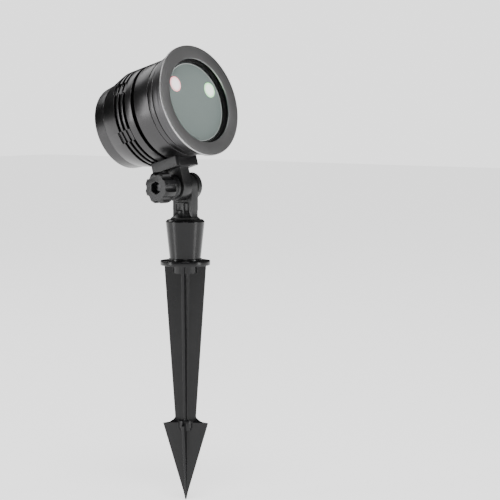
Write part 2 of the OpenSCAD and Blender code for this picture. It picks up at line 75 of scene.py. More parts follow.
class Value:
    """A socket on which shader maths can be written as plain expressions."""

    def __init__(self, shader: "Shader", socket: Any) -> None:
        """Keeps the shader and the socket.

        Args:
            shader: the shader whose tree holds the socket.
            socket: a float output socket.
        """
        self.shader = shader
        self.socket = socket

    def _math(self, operation: str, *values: Any) -> "Value":
        """Adds a Math node and returns its result."""
        return self.shader.node("Math", {"operation": operation}, dict(enumerate(values)))

    def __add__(self, other: Any) -> "Value":
        """self + other"""
        return self._math("ADD", self, other)

    def __radd__(self, other: Any) -> "Value":
        """other + self"""
        return self._math("ADD", other, self)

    def __sub__(self, other: Any) -> "Value":
        """self - other"""
        return self._math("SUBTRACT", self, other)

    def __rsub__(self, other: Any) -> "Value":
        """other - self"""
        return self._math("SUBTRACT", other, self)

    def __mul__(self, other: Any) -> "Value":
        """self * other"""
        return self._math("MULTIPLY", self, other)

    def __rmul__(self, other: Any) -> "Value":
        """other * self"""
        return self._math("MULTIPLY", other, self)

    def __truediv__(self, other: Any) -> "Value":
        """self / other"""
        return self._math("DIVIDE", self, other)

    def clamp(self) -> "Value":
        """self held between 0 and 1"""
        return self.shader.node("Clamp", {}, {"Value": self})

    def smooth(self, low: float, high: float) -> "Value":
        """0 below low, 1 above high, with a smooth step between them"""
        return self.shader.node("MapRange", {"interpolation_type": "SMOOTHSTEP"},
                                {"Value": self, "From Min": low, "From Max": high})


class Shader:
    """One material's node tree, with a Principled BSDF at its end."""

    def __init__(self, name: str) -> None:
        """Makes the material.

        Args:
            name: the material's name.
        """
        self.material = bpy.data.materials.new(name)
        self.material.use_nodes = True
        self.tree = self.material.node_tree
        self.bsdf = self.tree.nodes["Principled BSDF"]
        self.output = self.tree.nodes["Material Output"]
        self.coords = self.node("TexCoord", {}, {}, "Object")

    def node(self, kind: str, settings: dict, inputs: dict, output: Any = 0) -> Value:
        """Adds any node.

        Args:
            kind: the node's type without its ShaderNode prefix.
            settings: attributes that are set before the sockets; a ramp's stops go under "stops".
            inputs: values or links, keyed by socket name or index.
            output: the name or index of the output that is wanted.

        Returns:
            The output, wrapped.
        """
        made = self.tree.nodes.new("ShaderNode" + kind)
        for key, value in settings.items():
            if key == "stops":
                self.set_stops(made.color_ramp, value)
            else:
                setattr(made, key, value)
        for key, value in inputs.items():
            self.feed(made.inputs[key], value)
        return Value(self, made.outputs[output])

    @staticmethod
    def set_stops(ramp: Any, stops: Sequence[tuple[float, tuple]]) -> None:
        """Sets a colour ramp's stops.

        Args:
            ramp: the colour ramp.
            stops: each stop's place and colour.
        """
        while len(ramp.elements) < len(stops):
            ramp.elements.new(0.5)
        for element, (place, colour) in zip(ramp.elements, stops):
            element.position, element.color = place, (*colour, 1)

    def feed(self, socket: Any, value: Any) -> None:
        """Links a wrapped value to a socket, or sets the socket's own value."""
        if isinstance(value, Value):
            self.tree.links.new(value.socket, socket)
        else:
            socket.default_value = value

    def mapped(self, place: Matrix, scale: Sequence[float] = (1, 1, 1)) -> Value:
        """Object coordinates as seen from a placed frame, then scaled.

        Args:
            place: the frame's place in the row's frame.
            scale: stretch along the frame's own axes.

        Returns:
            The coordinates.
        """
        back = place.inverted()
        turned = self.node("Mapping", {}, {"Vector": self.coords, "Location": back.to_translation(),
                                           "Rotation": back.to_euler()})
        return self.node("VectorMath", {"operation": "MULTIPLY"}, {0: turned, 1: tuple(scale)})

    def from_axis(self, place: Matrix) -> Value:
        """The distance from a placed frame's z axis."""
        return self.node("VectorMath", {"operation": "LENGTH"}, {0: self.mapped(place, (1, 1, 0))}, "Value")

    def noise(self, coords: Value, scale: float, detail: float = 3, rough: float = 0.5) -> Value:
        """A noise texture's value, around 0.5."""
        return self.node("TexNoise", {}, {"Vector": coords, "Scale": scale, "Detail": detail,
                                          "Roughness": rough})

    def blend(self, factor: Any, first: Any, second: Any) -> Value:
        """A colour between two colours.

        Args:
            factor: 0 for the first colour, 1 for the second.
            first: three numbers, or a wrapped colour.
            second: the same.
        """
        first, second = (colour if isinstance(colour, Value) else (*colour, 1) for colour in (first, second))
        return self.node("Mix", {"data_type": "RGBA"}, {0: factor, 6: first, 7: second}, 2)

    def bump(self, height: Value, distance: float, strength: float = 1.0, under: Any = None) -> Value:
        """A Bump node's normal.

        Args:
            height: the height map.
            distance: the height of a full step, in metres.
            strength: how strong the bump is.
            under: a normal that it is laid on, or None.
        """
        inputs = {"Height": height, "Distance": distance, "Strength": strength}
        if under is not None:
            inputs["Normal"] = under
        return self.node("Bump", {}, inputs, "Normal")

    def soft_edges(self, radius: float) -> Value:
        """Normals rounded over sharp edges, as handling and moulding round them."""
        return self.node("Bevel", {"samples": 4}, {"Radius": radius}, "Normal")

    def edge_mask(self, radius: float) -> Value:
        """About 1 near sharp edges and 0 on flat faces."""
        true_normal = self.node("NewGeometry", {}, {}, "Normal")
        aligned = self.node("VectorMath", {"operation": "DOT_PRODUCT"},
                            {0: self.soft_edges(radius), 1: true_normal}, "Value")
        return (1.0 - aligned).smooth(0.005, 0.16)

    def set(self, **inputs: Any) -> bpy.types.Material:
        """Sets the Principled BSDF's sockets; an underscore stands for a space.

        Returns:
            The material.
        """
        for key, value in inputs.items():
            name = key.replace("_", " ")
            if not isinstance(value, Value) and name in ("Base Color", "Emission Color"):
                value = (*value, 1)
            self.feed(self.bsdf.inputs[name], value)
        return self.material


# ---------------------------------------------------------------- places


@dataclass(frozen=True)
class Places:
    """Where the projector's frames stand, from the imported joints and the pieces' boxes."""

    tilt: float = math.radians(16)
    clock: float = math.radians(7.5)
    face_ahead: float = 44 * MM
    axis_up: float = 63.4 * MM
    aside: float = -9.8 * MM
    port_across: float = 21.2 * MM
    port_rise: float = 13.2 * MM

    @property
    def pivot(self) -> Vector:
        """The tilt axis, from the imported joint."""
        joint = next(j for j in frame["joints"] if j["name"] == "head_tilt")
        return Vector(joint["pos_m"])

    @property
    def head(self) -> Matrix:
        """The head's frame: the origin is on the tilt axis and -Y runs along the barrel."""
        return Matrix.Translation(self.pivot) @ Matrix.Rotation(-self.tilt, 4, "X")

    @property
    def barrel(self) -> Matrix:
        """The barrel's frame: z is the distance behind the bezel's face, and -y is up."""
        shift = Matrix.Translation((self.aside, -self.face_ahead, self.axis_up))
        return self.head @ shift @ Matrix.Rotation(-math.pi / 2, 4, "X")

    @property
    def clocked(self) -> Matrix:
        """The barrel's frame, turned with the barrel."""
        return self.barrel @ Matrix.Rotation(self.clock, 4, "Z")

    def port(self, side: int) -> Matrix:
        """The frame of one lens: side is -1 for the red one and 1 for the green one."""
        return self.clocked @ Matrix.Translation((side * self.port_across, -self.port_rise, 0))

    @property
    def bolt(self) -> Matrix:
        """The clamp bolt's frame: z is the row's X."""
        return Matrix.Translation(self.pivot) @ Matrix.Rotation(math.pi / 2, 4, "Y")


PLACES = Places()


# ---------------------------------------------------------------- finishes


class Finish:
    """A finish makes one material, the first time that it is asked for."""

    name: str = "finish"

    def build(self, shader: Shader) -> None:
        """Sets the shader's sockets."""
        raise NotImplementedError

    def material(self) -> bpy.types.Material:
        """The finish's material."""
        made = bpy.data.materials.get("finish_" + self.name)
        if made is None:
            shader = Shader("finish_" + self.name)
            self.build(shader)
            made = shader.material
        return made


@dataclass(frozen=True)
class TurnedBlack(Finish):
    """Satin black anodised aluminium, with the fine rings that a lathe leaves."""

    name: str = "black_anodised"
    colour: tuple = (0.06, 0.059, 0.06)
    # colour of the painted highlight along the edges
    edge_highlight_colour: tuple = (0.2, 0.195, 0.2)
    rings_per_metre: float = 2600
    roughness: float = 0.3

    def build(self, shader: Shader) -> None:
        """Rings along the barrel's axis, cloudy dye, and a painted highlight that brightens the edges in
        cloudy patches.

        Args:
            shader: the shader to set.
        """
        along = shader.mapped(PLACES.barrel, (0.02, 0.02, 1))
        cloud = shader.noise(shader.coords, 22, 4)
        rings = shader.noise(along, self.rings_per_metre, 2)
        grain = shader.noise(shader.coords, 2300, 2)
        # painted highlight: the edges are brightened in the colour, in cloudy patches
        edge_highlight_mask = shader.edge_mask(0.45 * MM) * cloud.smooth(0.3, 0.62)
        rough = self.roughness + (cloud - 0.5) * 0.16 + (rings - 0.5) * 0.1
        normal = shader.bump(rings, 0.02 * MM, 0.35, shader.soft_edges(0.2 * MM))
        shader.set(Base_Color=shader.blend((edge_highlight_mask * 0.8).clamp(), self.colour, self.edge_highlight_colour), Metallic=1.0,
                   Roughness=rough.clamp(), Normal=shader.bump(grain, 0.015 * MM, 0.3, normal))


@dataclass(frozen=True)
class BezelFace(TurnedBlack):
    """The bezel's own turned rings, which run round its face."""

    name: str = "bezel_anodised"
    face: tuple = (0.42, 0.418, 0.42)
    colour: tuple = (0.075, 0.074, 0.076)
    roughness: float = 0.36

    def build(self, shader: Shader) -> None:
        """Rings by the distance from the barrel's axis.

        Args:
            shader: the shader to set.
        """
        radius = shader.from_axis(PLACES.barrel)
        along = shader.mapped(PLACES.barrel, (0, 0, 1))
        depth = shader.node("SeparateXYZ", {}, {0: along}, 2)
        place = shader.node("CombineXYZ", {}, {0: radius, 1: depth})
        rings = shader.noise(place, self.rings_per_metre, 2)
        cloud = shader.noise(shader.coords, 26, 4)
        grain = shader.noise(shader.coords, 2300, 2)
        # painted highlight: the bezel's edges are brightened in the colour, in cloudy patches
        edge_highlight_mask = shader.edge_mask(0.5 * MM) * cloud.smooth(0.3, 0.62)
        normal = shader.bump(rings, 0.02 * MM, 0.3, shader.soft_edges(0.2 * MM))
        rough = self.roughness + (cloud - 0.5) * 0.14 + (rings - 0.5) * 0.08
        face = 1 - depth.smooth(0.6 * MM, 1.4 * MM)
        tone = shader.blend(face, self.colour, self.face)
        edge_highlight_colour = shader.blend((edge_highlight_mask * 0.7).clamp(), tone, self.edge_highlight_colour)
        shader.set(Base_Color=edge_highlight_colour, Metallic=1.0, Roughness=rough.clamp(),
                   Normal=shader.bump(grain, 0.015 * MM, 0.35, normal))


@dataclass(frozen=True)
class Moulded(Finish):
    """Black moulded plastic with a fine grain, paler in random patches and with a painted highlight along its
    edges.
    """

    name: str = "satin_plastic"
    colour: tuple = (0.01, 0.01, 0.0105)
    # pale colour of the random patches and of the painted edge highlight
    dust_and_sheen: tuple = (0.035, 0.035, 0.036)
    roughness: float = 0.38
    grain: float = 1500
    depth: float = 0.05 * MM
    edge: float = 0.5 * MM
    specular: float = 0.4

    def build(self, shader: Shader) -> None:
        """Grain in the bump, flow marks in the roughness, and in the colour random paler patches with a
        painted highlight along the edges.

        Args:
            shader: the shader to set.
        """
        fine = shader.noise(shader.coords, self.grain, 3)
        flow = shader.noise(shader.coords, 35, 4, 0.6)
        # painted highlight along the edges, plus random paler patches from the flow marks
        sheen_and_patch_mask = (shader.edge_mask(self.edge) * flow.smooth(0.35, 0.65) + (flow - 0.5) * 0.3).clamp()
        rough = self.roughness + (flow - 0.5) * 0.2 + (fine - 0.5) * 0.12
        shader.set(Base_Color=shader.blend(sheen_and_patch_mask, self.colour, self.dust_and_sheen), Roughness=rough.clamp(),
                   Specular_IOR_Level=self.specular,
                   Normal=shader.bump(fine, self.depth, 0.5, shader.soft_edges(self.edge)))


@dataclass(frozen=True)
class Metal(Finish):
    """A bare or plated metal with fine scratches."""

    name: str = "zinc_steel"
    colour: tuple = (0.5, 0.5, 0.52)
    tarnish: tuple = (0.3, 0.3, 0.31)
    roughness: float = 0.3
    edge: float = 0.2 * MM

    def build(self, shader: Shader) -> None:
        """Scratches in the roughness, tarnish in patches."""
        scratch = shader.noise(shader.mapped(PLACES.barrel, (1, 1, 0.05)), 3200, 2)
        patch = shader.noise(shader.coords, 140, 3)
        shader.set(Base_Color=shader.blend(patch.smooth(0.35, 0.7), self.colour, self.tarnish), Metallic=1.0,
                   Roughness=(self.roughness + (scratch - 0.5) * 0.25).clamp(),
                   Normal=shader.bump(scratch, 0.01 * MM, 0.5, shader.soft_edges(self.edge)))


@dataclass(frozen=True)
class Glass(Finish):
    """Clear flat cover glass, with a trace of dust."""

    name: str = "clear_glass"

    def build(self, shader: Shader) -> None:
        """Mostly see-through, so that the plate shows through it."""
        dust_and_sheen = shader.noise(shader.coords, 60, 4)
        shader.set(Base_Color=(0.01, 0.012, 0.012), Roughness=(0.02 + dust_and_sheen * 0.04).clamp(), IOR=1.45,
                   Alpha=(0.03 + dust_and_sheen * 0.03).clamp())


@dataclass(frozen=True)
class PlateGrey(Finish):
    """The front plate's pale greenish grey, finely speckled, with a bright cut rim."""

    name: str = "grey_plate"
    colour: tuple = (0.25, 0.3, 0.285)
    deep: tuple = (0.225, 0.275, 0.26)
    rim: tuple = (0.75, 0.8, 0.78)
    rim_from: float = 32.95 * MM

    def build(self, shader: Shader) -> None:
        """Satin paint, with the rim by the distance from the axis.

        Args:
            shader: the shader to set.
        """
        edge = shader.from_axis(PLACES.barrel).smooth(self.rim_from, self.rim_from + 0.2 * MM)
        speck = shader.noise(shader.coords, 900, 3)
        tone = shader.blend(speck, self.colour, self.deep)
        rough = 0.5 + (speck - 0.5) * 0.2
        shader.set(Base_Color=shader.blend(edge, tone, self.rim), Roughness=rough.clamp(),
                   Normal=shader.bump(speck, 0.02 * MM, 0.3))


@dataclass(frozen=True)
class TrimLines(Finish):
    """Black ring round the plate, with two thin bright lines turned into it."""

    name: str = "bright_ring"
    dark: tuple = (0.006, 0.006, 0.006)
    bright: tuple = (0.6, 0.66, 0.63)
    inner: float = 34.5 * MM
    outer: float = 35.6 * MM
    width: float = 0.3 * MM

    def line(self, radius: Value, place: float) -> Value:
        """One thin line at a distance from the axis.

        Args:
            radius: the distance from the barrel's axis.
            place: the line's own distance.

        Returns:
            1 on the line and 0 away from it.
        """
        half, soft = self.width / 2, 0.08 * MM
        return radius.smooth(place - half, place - half + soft) * (
            1 - radius.smooth(place + half - soft, place + half))

    def build(self, shader: Shader) -> None:
        """Lines by the distance from the axis."""
        radius = shader.from_axis(PLACES.barrel)
        lines = (self.line(radius, self.inner) + self.line(radius, self.outer)).clamp()
        shader.set(Base_Color=shader.blend(lines, self.dark, self.bright), Metallic=lines, Roughness=0.35)


@dataclass(frozen=True)
class LitLens(Finish):
    """A lit grating lens: near white in the middle, with its colour round the rim."""

    name: str = "red_light"
    side: int = -1
    colour: tuple = (1.0, 0.12, 0.16)
    core: tuple = (1.0, 0.86, 0.88)
    radius: float = 6.7 * MM
    strength: float = 1.6

    def build(self, shader: Shader) -> None:
        """Emission by the distance from the lens's own axis, over a grating's fine lines.

        Args:
            shader: the shader to set.
        """
        place = PLACES.port(self.side)
        glow = shader.from_axis(place).smooth(self.radius * 0.55, self.radius * 1.02)
        flat = shader.mapped(place, (1, 1, 0))
        lines = shader.node("TexWave", {"bands_direction": "X"}, {"Vector": flat, "Scale": 900.0}, 1)
        shader.set(Base_Color=(0.8, 0.8, 0.8), Roughness=0.25,
                   Emission_Color=shader.blend(glow, self.core, self.colour), Emission_Strength=self.strength,
                   Normal=shader.bump(lines, 0.02 * MM, 0.4))


@dataclass(frozen=True)
class BoardGreen(Finish):
    """Solder mask over copper tracks."""

    name: str = "board_green"

    def build(self, shader: Shader) -> None:
        """Tracks as the cells of a square pattern."""
        inputs = {"Vector": shader.mapped(PLACES.clocked), "Scale": 160.0, "Mortar Size": 0.03}
        tracks = shader.node("TexBrick", {"offset": 0.37}, inputs, 1)
        shader.set(Base_Color=shader.blend(tracks, (0.01, 0.1, 0.04), (0.05, 0.25, 0.1)), Roughness=0.35,
                   Normal=shader.bump(tracks, 0.03 * MM))


ANODISED = TurnedBlack()
BEZEL = BezelFace()
SATIN = Moulded()
SPIKE = Moulded("spike_plastic", (0.005, 0.005, 0.0055), (0.02, 0.02, 0.021), 0.22, 900, 0.03 * MM,
                specular=0.3)
NYLON = Moulded("gland_nylon", (0.016, 0.016, 0.016), (0.05, 0.05, 0.05), 0.45, 2200, 0.04 * MM, 0.3 * MM)
RUBBER = Moulded("seal_rubber", (0.008, 0.008, 0.008), (0.02, 0.02, 0.02), 0.75, 1800, 0.06 * MM, 0.2 * MM)
COMPONENT = Moulded("component_black", (0.012, 0.012, 0.012), (0.05, 0.05, 0.05), 0.5, 2600, 0.02 * MM,
                    0.2 * MM)
ZINC = Metal()
BRIGHT = TrimLines()
BRASS = Metal("module_brass", (0.72, 0.52, 0.22), (0.5, 0.34, 0.14), 0.28)
ALUMINIUM = Metal("block_aluminium", (0.66, 0.68, 0.7), (0.5, 0.52, 0.54), 0.35)
BLACK_ZINC = Metal("black_zinc", (0.06, 0.06, 0.062), (0.03, 0.03, 0.03), 0.35)
CLEAR = Glass()
PLATE = PlateGrey()
RED = LitLens()
GREEN = LitLens("green_light", 1, (0.1, 0.85, 0.12), (0.9, 1.0, 0.88))
BOARD = BoardGreen()


# ---------------------------------------------------------------- making meshes


class Body(Enum):
    """The bodies that pieces ride on."""

    STAKE = "stake"
    POST = "post"
    KNOB = "knob"
    HEAD = "head"


def rounded(corners: Sequence[tuple], steps: int = 4) -> list[Point]:
    """An outline whose corners are rounded with arcs.

    Args:
        corners: (r, z) or (r, z, radius) in millimetres; a corner with no radius stays sharp.
        steps: the spans in each arc.

    Returns:
        The outline's points in metres.
    """
    points: list[Point] = []
    count = len(corners)
    for i, corner in enumerate(corners):
        here = Vector(corner[:2])
        before = Vector(corners[i - 1][:2]) - here
        after = Vector(corners[(i + 1) % count][:2]) - here
        radius = corner[2] if len(corner) > 2 else 0
        angle = before.angle(after, math.pi) if before.length and after.length else math.pi
        if not radius or angle > math.radians(178):
            points.append(tuple(here * MM))
            continue
        reach = min(radius / math.tan(angle / 2), before.length * 0.48, after.length * 0.48)
        start, end = here + before.normalized() * reach, here + after.normalized() * reach
        for k in range(steps + 1):
            t = k / steps
            bend = start * (1 - t) ** 2 + here * 2 * t * (1 - t) + end * t ** 2
            points.append(tuple(bend * MM))
    return points


def lathe(outline: Sequence[Point], sides: int = 128) -> bpy.types.Mesh:
    """Turns a closed outline about z.

    Args:
        outline: (r, z) points in metres; points with r of 0 become poles.
        sides: the number of sides.

    Returns:
        A closed mesh that faces outwards.
    """
    made = bmesh.new()
    rings = []
    for r, z in outline:
        if r < 1e-7:
            rings.append([made.verts.new((0, 0, z))])
            continue
        rings.append([made.verts.new((r * math.cos(a), r * math.sin(a), z))
                      for a in (2 * math.pi * k / sides for k in range(sides))])
    for low, high in zip(rings, rings[1:] + rings[:1]):
        if len(low) == 1 and len(high) == 1:
            continue
        for k in range(sides):
            n = (k + 1) % sides
            if len(low) == 1:
                made.faces.new((low[0], high[n], high[k]))
            elif len(high) == 1:
                made.faces.new((low[k], low[n], high[0]))
            else:
                made.faces.new((low[k], low[n], high[n], high[k]))
    return to_mesh(made)


def to_mesh(made: bmesh.types.BMesh) -> bpy.types.Mesh:
    """Closes a bmesh into a mesh whose faces point outwards.

    Args:
        made: the bmesh, which is freed.
    """
    bmesh.ops.remove_doubles(made, verts=made.verts, dist=1e-7)
    bmesh.ops.recalc_face_normals(made, faces=made.faces)
    mesh = bpy.data.meshes.new("made")
    made.to_mesh(mesh)
    made.free()
    return mesh


def prism(outline: Sequence[Point], low: float, high: float) -> bpy.types.Mesh:
    """A closed prism.

    Args:
        outline: its (x, y) points in metres.
        low: z of one end.
        high: z of the other end.
    """
    made = bmesh.new()
    ends = [[made.verts.new((x, y, z)) for x, y in outline] for z in (low, high)]
    made.faces.new(ends[0][::-1])
    made.faces.new(ends[1])
    for k in range(len(outline)):
        n = (k + 1) % len(outline)
        made.faces.new((ends[0][k], ends[0][n], ends[1][n], ends[1][k]))
    return to_mesh(made)


def polygon(sides: int, across_flats: float, turn: float = 0.0) -> list[Point]:
    """A regular polygon's corners, in the unit of its width across flats."""
    r = across_flats / 2 / math.cos(math.pi / sides)
    return [(r * math.cos(turn + 2 * math.pi * k / sides), r * math.sin(turn + 2 * math.pi * k / sides))
            for k in range(sides)]


def rod(radius: float, low: float, high: float, sides: int = 40) -> bpy.types.Mesh:
    """A plain round rod along z, for cutting holes. Sizes in millimetres.

    Args:
        radius: its radius.
        low: z of one end.
        high: z of the other end.
        sides: the number of sides.
    """
    return lathe([(0, low * MM), (radius * MM, low * MM), (radius * MM, high * MM), (0, high * MM)], sides)


def joined(*meshes: bpy.types.Mesh) -> bpy.types.Mesh:
    """Several meshes as one mesh of separate shells."""
    made = bmesh.new()
    for mesh in meshes:
        made.from_mesh(mesh)
    whole = bpy.data.meshes.new("joined")
    made.to_mesh(whole)
    made.free()
    return whole


def moved(mesh: bpy.types.Mesh, place: Matrix) -> bpy.types.Mesh:
    """The mesh, moved in its own data."""
    mesh.transform(place)
    return mesh


def with_modifiers(mesh: bpy.types.Mesh, *modifiers: tuple[str, dict]) -> bpy.types.Mesh:
    """The mesh with modifiers applied.

    Args:
        mesh: the mesh to start from.
        modifiers: pairs of a modifier's type and its settings.
    """
    holder = bpy.data.objects.new("holder", mesh)
    bpy.context.scene.collection.objects.link(holder)
    for kind, settings in modifiers:
        modifier = holder.modifiers.new(kind, kind)
        for key, value in settings.items():
            setattr(modifier, key, value)
    result = bpy.data.meshes.new_from_object(holder.evaluated_get(bpy.context.evaluated_depsgraph_get()))
    bpy.data.objects.remove(holder)
    return result


def bevelled(mesh: bpy.types.Mesh, width: float, angle: float = 30, segments: int = 3) -> bpy.types.Mesh:
    """The mesh with its sharp edges rounded.

    Args:
        mesh: the mesh.
        width: the bevel's width in millimetres.
        angle: the least angle that counts as an edge, in degrees.
        segments: the spans in each round.
    """
    return with_modifiers(mesh, ("BEVEL", {"width": width * MM, "segments": segments, "limit_method": "ANGLE",
                                           "angle_limit": math.radians(angle)}))


def cad_copy(node: str, width: float, flat: float = 0.4) -> bpy.types.Mesh:
    """A CAD node's mesh, merged and cleaned, with its sharp edges rounded.

    Args:
        node: the node's name.
        width: the bevel's width in millimetres.
        flat: the angle, in degrees, under which neighbouring faces become one.
    """
    made = bmesh.new()
    made.from_mesh(frame["nodes"][node].data)
    bmesh.ops.remove_doubles(made, verts=made.verts, dist=2e-6)
    bmesh.ops.dissolve_limit(made, angle_limit=math.radians(flat), verts=made.verts, edges=made.edges)
    mesh = bpy.data.meshes.new(node)
    made.to_mesh(mesh)
    made.free()
    return bevelled(mesh, width)


# ---------------------------------------------------------------- geometry nodes


class GeoTree:
    """A geometry node tree with named inputs."""

    def __init__(self, name: str) -> None:
        """Makes the tree and its geometry sockets.

        Args:
            name: the tree's name.
        """
        self.group = bpy.data.node_groups.new(name, "GeometryNodeTree")
        self.group.interface.new_socket("Geometry", in_out="INPUT", socket_type="NodeSocketGeometry")
        self.group.interface.new_socket("Geometry", in_out="OUTPUT", socket_type="NodeSocketGeometry")
        self.source = self.group.nodes.new("NodeGroupInput")
        self.sink = self.group.nodes.new("NodeGroupOutput")
        self.names: dict[str, str] = {}

    def input(self, name: str, kind: str, value: Any) -> Any:
        """Adds a named input and returns its socket inside the tree."""
        made = self.group.interface.new_socket(name, in_out="INPUT", socket_type="NodeSocket" + kind)
        made.default_value = value
        self.names[name] = made.identifier
        return self.source.outputs[name]

    def node(self, kind: str, settings: dict, inputs: dict, output: Any = 0) -> Any:
        """Adds a node.

        Args:
            kind: the node's type.
            settings: attributes that are set before the sockets.
            inputs: values or sockets, keyed by socket name or index.
            output: the name or index of the output that is wanted.

        Returns:
            The wanted output socket.
        """
        made = self.group.nodes.new(kind)
        for key, value in settings.items():
            setattr(made, key, value)
        for key, value in inputs.items():
            if isinstance(value, bpy.types.NodeSocket):
                self.group.links.new(value, made.inputs[key])
            else:
                made.inputs[key].default_value = value
        return made.outputs[output]

    def around(self, geometry: Any, count: Any, start: Any) -> Any:
        """Copies of a geometry round z.

        Args:
            geometry: the geometry socket to repeat.
            count: the socket that holds the number of copies.
            start: the socket that holds the first copy's angle.
        """
        points = self.node("GeometryNodePoints", {}, {"Count": count})
        index = self.node("GeometryNodeInputIndex", {}, {})
        share = self.node("ShaderNodeMath", {"operation": "DIVIDE"}, {0: index, 1: count})
        angle = self.node("ShaderNodeMath", {"operation": "MULTIPLY_ADD"},
                          {0: share, 1: 2 * math.pi, 2: start})
        turn = self.node("ShaderNodeCombineXYZ", {}, {2: angle})
        return self.node("GeometryNodeInstanceOnPoints", {}, {"Points": points, "Instance": geometry,
                                                              "Rotation": turn})

    def close(self, geometry: Any, material: bpy.types.Material) -> None:
        """Ends the tree in Realize Instances and Set Material."""
        real = self.node("GeometryNodeRealizeInstances", {}, {"Geometry": geometry})
        dressed = self.node("GeometryNodeSetMaterial", {}, {"Geometry": real, "Material": material})
        self.group.links.new(dressed, self.sink.inputs[0])

    def run(self, mesh: bpy.types.Mesh, **values: Any) -> bpy.types.Mesh:
        """Runs the tree on a mesh.

        Args:
            mesh: the mesh that goes in.
            values: the named inputs; an underscore stands for a space.

        Returns:
            The plain mesh that comes out.
        """
        holder = bpy.data.objects.new("holder", mesh)
        bpy.context.scene.collection.objects.link(holder)
        modifier = holder.modifiers.new("tree", "NODES")
        modifier.node_group = self.group
        for name, value in values.items():
            modifier[self.names[name.replace("_", " ")]] = value
        result = bpy.data.meshes.new_from_object(holder.evaluated_get(bpy.context.evaluated_depsgraph_get()))
        bpy.data.objects.remove(holder)
        return result


def ring_of(mesh: bpy.types.Mesh, count: int, start: float, finish: Finish) -> bpy.types.Mesh:
    """Copies of a mesh round z, by Geometry Nodes.

    Args:
        mesh: one copy, in place.
        count: the number of copies.
        start: the turn of the first copy, in radians.
        finish: the copies' finish.
    """
    tree = GeoTree("ring_of")
    number = tree.input("Count", "Int", 4)
    first = tree.input("Start", "Float", 0.0)
    tree.close(tree.around(tree.source.outputs[0], number, first), finish.material())
    return tree.run(mesh, Count=count, Start=start)


def pocketed(mesh: bpy.types.Mesh, count: int, start: float, size: Sequence[float], out: float, along: float,
             finish: Finish) -> bpy.types.Mesh:
    """A turned mesh with pockets milled across it at even angles, by Geometry Nodes.

    Args:
        mesh: the turned mesh, about z.
        count: the number of pockets.
        start: the first pocket's angle, in radians.
        size: the cutter's width, height and length.
        out: the distance from the axis to the pocket's floor.
        along: z of the cutter's middle.
        finish: the finish of the result.
    """
    tree = GeoTree("pocketed")
    number = tree.input("Count", "Int", 6)
    first = tree.input("Start", "Float", 0.0)
    cutter_size = tree.input("Size", "Vector", (0.01, 0.01, 0.01))
    offset = tree.input("Offset", "Vector", (0.0, 0.04, 0.05))
    cutter = tree.node("GeometryNodeMeshCube", {}, {"Size": cutter_size})
    placed = tree.node("GeometryNodeTransform", {}, {"Geometry": cutter, "Translation": offset})
    cutters = tree.node("GeometryNodeRealizeInstances", {}, {"Geometry": tree.around(placed, number, first)})
    cut = tree.node("GeometryNodeMeshBoolean", {"operation": "DIFFERENCE", "solver": "EXACT"},
                    {"Mesh 1": tree.source.outputs[0], "Mesh 2": cutters})
    tree.close(cut, finish.material())
    return tree.run(mesh, Count=count, Start=start, Size=tuple(size), Offset=(0.0, out + size[1] / 2, along))


# ---------------------------------------------------------------- pieces


def piece(name: str, mesh: bpy.types.Mesh, finish: Finish, body: Body, nodes: Iterable[str],
          angle: float = 32) -> bpy.types.Object:
    """Makes a finished piece from a mesh that is already in place.

    Args:
        name: the piece's name.
        mesh: its mesh.
        finish: its finish.
        body: the body that it rides on.
        nodes: the CAD nodes that it stands for.
        angle: edges sharper than this, in degrees, stay sharp.

    Returns:
        The object.
    """
    mesh.materials.clear()
    mesh.materials.append(finish.material())
    mesh.shade_smooth()
    mesh.set_sharp_from_angle(angle=math.radians(angle))
    made = bpy.data.objects.new(name, mesh)
    bpy.context.scene.collection.objects.link(made)
    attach(made, body.value)
    nodes = list(nodes)
    if nodes:
        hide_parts(*nodes)
    LOG.info("%s: %d faces", name, len(mesh.polygons))
    return made


def dress(finish: Finish, *nodes: str) -> None:
    """Gives CAD nodes that stay as they are a finish.

    Args:
        finish: the finish.
        nodes: the nodes' names.
    """
    for node in nodes:
        for slot in frame["nodes"][node].material_slots:
            slot.link = "OBJECT"
            slot.material = finish.material()
        LOG.info("%s: dressed in %s", node, finish.name)


# ---------------------------------------------------------------- the ground spike


